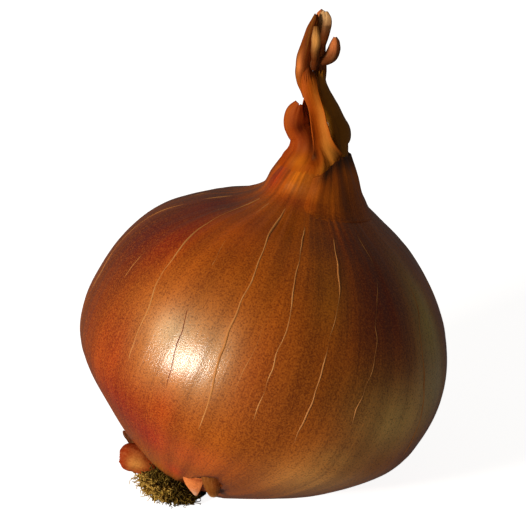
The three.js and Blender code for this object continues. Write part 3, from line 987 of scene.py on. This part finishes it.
def driedLeaf(name, leaf, facing, shape):
    # A sheet rolled across its width and laid along its route, wrinkled lengthways, with a ragged far end
    bm = bmesh.new()
    bmesh.ops.create_grid(bm, x_segments=shape["across"], y_segments=shape["lengthways"], size=1)
    towards = Vector(facing).normalized()
    seed = sum(ord(letter) for letter in name) % 97
    fixed, byWidth = shape["wrinkleByWidth"]
    grain = []
    tint = []
    for vertex in bm.verts:
        side, up = vertex.co.x, (vertex.co.y + 1) / 2
        tear = leaf.get("ragged", shape["ragged"]) * abs(waver(side * shape["tears"], seed))
        place = up * (1 - tear * smooth(shape["tornFrom"], 1.0, up))
        middle = along(leaf["route"], place)
        tangent = (along(leaf["route"], place + 0.01) - along(leaf["route"], place - 0.01)).normalized()
        outwards = tangent.cross(towards).normalized()
        turn = math.radians(leaf.get("start", 0) + leaf.get("turn", 0) * up)
        outwards.rotate(Matrix.Rotation(turn, 3, tangent))
        front = outwards.cross(tangent)
        curl = math.radians(along(leaf["curl"], up)) or 0.01  # never quite flat, for the radius
        wide = along(leaf["wide"], up)
        wrinkle = shape["wrinkle"] * (fixed + byWidth * wide) * smooth(0.0, shape["wrinkledBy"], up)
        radius = wide / (2 * math.sin(min(math.pi, abs(curl)) / 2)) * (1 + shape["lopsided"] * side)
        for share, across, upwards, stretch in shape["wrinkles"]:
            radius += wrinkle * share * waver(side * across, up * upwards, seed + stretch)
        angle = side * abs(curl) / 2
        bow = 1 - math.sin(curl / 2) / (curl / 2)
        forward = radius * (1 - math.cos(angle) - bow) * math.copysign(1, curl)
        point = (middle + outwards * radius * math.sin(angle) + front * forward) * mm
        colour = mixed(leaf["ground"], leaf["patches"], side, up)
        if "grows" in leaf:
            point, colour = grown(leaf, side, up, point, colour)
        vertex.co = point
        grain.append((side * abs(curl) * radius / 2, seed, place * shape["grainLength"]))
        tint.append(colour)
    material, slot = leafFinishes[leaf["finish"]]
    piece = finished("dried_" + name, bm, material, [name], grain, tint)
    addWall(piece, shape["thickness"], 0)


for name, leaf in leaves.items():
    driedLeaf(name, leaf, viewerSide, leafShape)
print("neck leaves ready")


# Torn curls of outer skin round the root end
curls = {
    "skin_curl_left": {
        "route": [(-12.8, -3.6, 2.9), (-13.8, -4.0, 3.5), (-14.8, -4.2, 4.0), (-15.7, -4.3, 4.5),
            (-16.5, -4.3, 4.8), (-17.1, -4.3, 4.95), (-17.6, -4.3, 5.0)],
        "wide": [1.4, 2.6, 3.2, 3.5, 3.3, 2.7, 1.3],
        "curl": [-90, -100, -110, -120, -130, -140],
        "facing": (-0.4, -0.8, 0.4),
        "ground": "#b03c14",
        # The orange middle is partly the inner skin's orange, partly painted light; the dark edge on the
        # bulb's side is painted shade between the lobe and the bulb
        "patches": [(-0.15, 0.48, 0.5, 0.2, 0.95, "#ffac54"), (0.95, 0.3, 0.35, 0.6, 0.9, "#4a1404"),
            (0.0, 1.05, 3, 0.16, 0.7, "#8c2404")],
    },
    "skin_curl_front": {
        "route": [(-8.3, -13.6, 7.6), (-8.4, -13.2, 6.8), (-8.4, -12.9, 5.9), (-8.3, -12.5, 5.0),
            (-8.2, -12.1, 4.2)],
        "wide": [2.4, 2.5, 2.0, 1.2, 0.3],
        "curl": [-50, -50, -50, -50, -50],
        "facing": (-0.3, -0.85, -0.3),
        "ground": "#ff9450",
        "patches": [(0.1, 0.95, 0.8, 0.25, 0.8, "#ffd8b8"), (0.0, 0.1, 3, 0.12, 0.7, "#b04010")],
    },
    "skin_curl_roll": {
        "route": [(-6.5, -15.9, 9.0), (-6.4, -15.3, 8.0), (-6.3, -14.7, 6.9), (-6.3, -14.0, 5.8),
            (-6.2, -13.5, 4.9)],
        "wide": [1.8, 2.1, 2.1, 1.8, 1.2],
        "curl": [-100, -100, -110, -120, -120],
        "facing": (-0.2, -0.85, -0.4),
        "turn": 10,
        "ground": "#8c5014",
        "patches": [(0.0, 1.0, 3, 0.14, 0.6, "#d0a060"), (-0.6, 0.3, 0.5, 0.3, 0.6, "#a04a0c")],
    },
    "skin_curl_back": {
        "route": [(-12.9, 0.9, 1.4), (-14.2, 1.0, 1.5), (-15.0, 1.5, 2.0), (-15.9, 2.0, 2.8),
            (-16.7, 2.3, 3.9), (-17.2, 2.5, 4.9)],
        "wide": [1.8, 2.6, 3.2, 2.8, 2.0, 0.8],
        "curl": [60, 80, 100, 110, 110],
        "facing": (-0.3, 0.5, 1),
        # Its dark colour is painted shade: the flake lies in shade behind the bulb
        "ground": "#3c1404",
        "patches": [],
    },
}
curlShape = dict(leafShape, across=24, lengthways=40, wrinkle=0.06, ragged=0.06)


for name, curl in curls.items():
    curl["finish"] = "torn"
    driedLeaf(name, curl, curl["facing"], curlShape)
print("skin curls ready")


# Root plate and roots
roots = {
    "plateRadius": 2.5,
    "plateLow": 1.3,
    "plateHigh": 2.58,
    "plateBulge": 0.25,
    "plateLumps": (0.12, 4),  # depth as a share of the size, and waves
    # The felt of matted roots: its middle and reach, in the lean's direction, across it and along the axis
    "felt": (-0.15, -1.2, 0.0),
    "feltReach": (4.1, 3.4, 1.5),
    "feltLumps": [(0.14, 2.2), (0.06, 7)],
    "count": 1100,
    # Where they grow from the felt, in degrees round the axis and up from level
    "around": (110, 312),
    "climb": (-60, 55),
    "reach": (0.5, 1.7),
    "thickness": (0.06, 0.13),
    "thinsBy": 0.5,
    "points": 10,
    "buried": 0.3,
    "outwards": 0.5,
    "strays": 1.2,
    "wriggle": 1.0,
    "wriggles": 2.5,
    "lowest": 0.35,
    "shadeFrom": (225, 285),  # painted shade: the far side of the tuft, away from the lamp, and its top under the bulb are darker
    "shadeAbove": (0.1, 0.6),
    "seed": 21,
}
rootLook = {
    "patchesPerMetre": 900,
    "patchEdges": (0.35, 0.65),
    "relief": 0.1,
    "roughness": 0.85,
    "gloss": 0.2,
}


def rootSkin(name, dark, pale):
    # dried shallot roots and their corky plate: dull, woody, olive to straw coloured
    dull = {"Roughness": rootLook["roughness"], "Specular IOR Level": rootLook["gloss"]}
    material, shader, link = newMaterial(name, dull)
    place = addNode(material, "TexCoord").outputs["Object"]
    noises = {"Scale": rootLook["patchesPerMetre"], "Detail": 3.0, "Roughness": 0.7}
    patchy = addNode(material, "TexNoise", noises, {"Vector": place}).outputs["Fac"]
    share = ranged(material, patchy, *rootLook["patchEdges"])
    link(toned(material, share, dark, pale), shader.inputs["Base Color"])
    depth = {"Strength": 1.0, "Distance": rootLook["relief"] * mm}
    bump = addNode(material, "Bump", depth, {"Height": patchy})
    link(bump.outputs[0], shader.inputs["Normal"])
    return material


def makeRootPlate():
    bm = bmesh.new()
    bmesh.ops.create_uvsphere(bm, u_segments=48, v_segments=24, radius=1)
    middle = (roots["plateLow"] + roots["plateHigh"]) / 2
    half = (roots["plateHigh"] - roots["plateLow"]) / 2 + roots["plateBulge"]
    depth, waves = roots["plateLumps"]
    for vertex in bm.verts:
        place = vertex.co.copy()
        lump = 1 + depth * noise.noise(place * waves)
        radius = Vector((place.x, place.y)).length * roots["plateRadius"] * lump
        degrees = math.degrees(math.atan2(place.y, place.x))
        vertex.co = onAxis(degrees, radius, middle + place.z * half * lump)
    cork = rootSkin("corky_root_plate", "#4a3312", "#8a6a34")
    finished("root_plate_cork", bm, cork, ["root_plate"])


def feltPoint(direction):
    # A point on the lumpy surface of the felt, never below the ground
    lump = 1 + sum(depth * noise.noise(direction * waves) for depth, waves in roots["feltLumps"])
    reach = [way * size * lump for way, size in zip(direction, roots["feltReach"])]
    point = leanPlace @ (Vector(roots["felt"]) + Vector(reach)) * mm
    point.z = max(roots["lowest"] * mm, point.z)
    return point


def makeFelt():
    bm = bmesh.new()
    bmesh.ops.create_icosphere(bm, subdivisions=6, radius=1)
    for vertex in bm.verts:
        vertex.co = feltPoint(vertex.co)
    finished("root_felt", bm, rootSkin("felted_roots", "#4a3608", "#a88834"), [])


def addRoot(curve, index, rng):
    # One root: it starts inside the felt, heads outwards and strays on its way
    degrees = rng.uniform(*roots["around"])
    angle = math.radians(degrees)
    climb = math.radians(rng.uniform(*roots["climb"]))
    level = math.cos(climb)
    outwards = Vector((math.cos(angle) * level, math.sin(angle) * level, math.sin(climb)))
    start = feltPoint(outwards)
    strays = noise.noise_vector(Vector((index * 1.7, 0, 0))) * roots["strays"]
    heading = leanTurn @ outwards * roots["outwards"] + strays
    reach = rng.uniform(*roots["reach"]) * mm
    thick = rng.uniform(*roots["thickness"])
    root = curve.splines.new("POLY")
    # roots in painted shade take the darker copy of the root material
    dark = max(smooth(*roots["shadeFrom"], degrees), smooth(*roots["shadeAbove"], climb))
    root.material_index = 1 if rng.random() < dark else 0
    root.points.add(roots["points"] - 1)
    for k, bend in enumerate(root.points):
        share = k / (roots["points"] - 1)
        point = start + heading * reach * (share - roots["buried"])
        wriggle = noise.noise_vector(Vector((index * 3.1, share * roots["wriggles"], 5)))
        point += wriggle * roots["wriggle"] * mm * share
        point.z = max((roots["lowest"] + thick / 2) * mm, point.z)
        bend.co = (*point, 1)
        bend.radius = thick * (1 - roots["thinsBy"] * share)


def makeRoots():
    rng = random.Random(roots["seed"])
    noise.seed_set(roots["seed"])  # without it, noise_vector takes its offsets from the clock
    pale = rootSkin("dried_root", "#7a5814", "#dcb458")
    # a darker copy of the root material, for painted shade
    dark = rootSkin("dried_root_painted_shade", "#33240a", "#7a601c")
    curve = newThreads("root_tuft", 1.0, 0, [pale, dark])
    for index in range(roots["count"]):
        addRoot(curve, index, rng)
    nodes = ["root_%02d" % number for number in range(1, 14)]
    placed(bpy.data.objects.new("root_tuft", curve), nodes)


makeRootPlate()
makeFelt()
makeRoots()
print("roots ready")
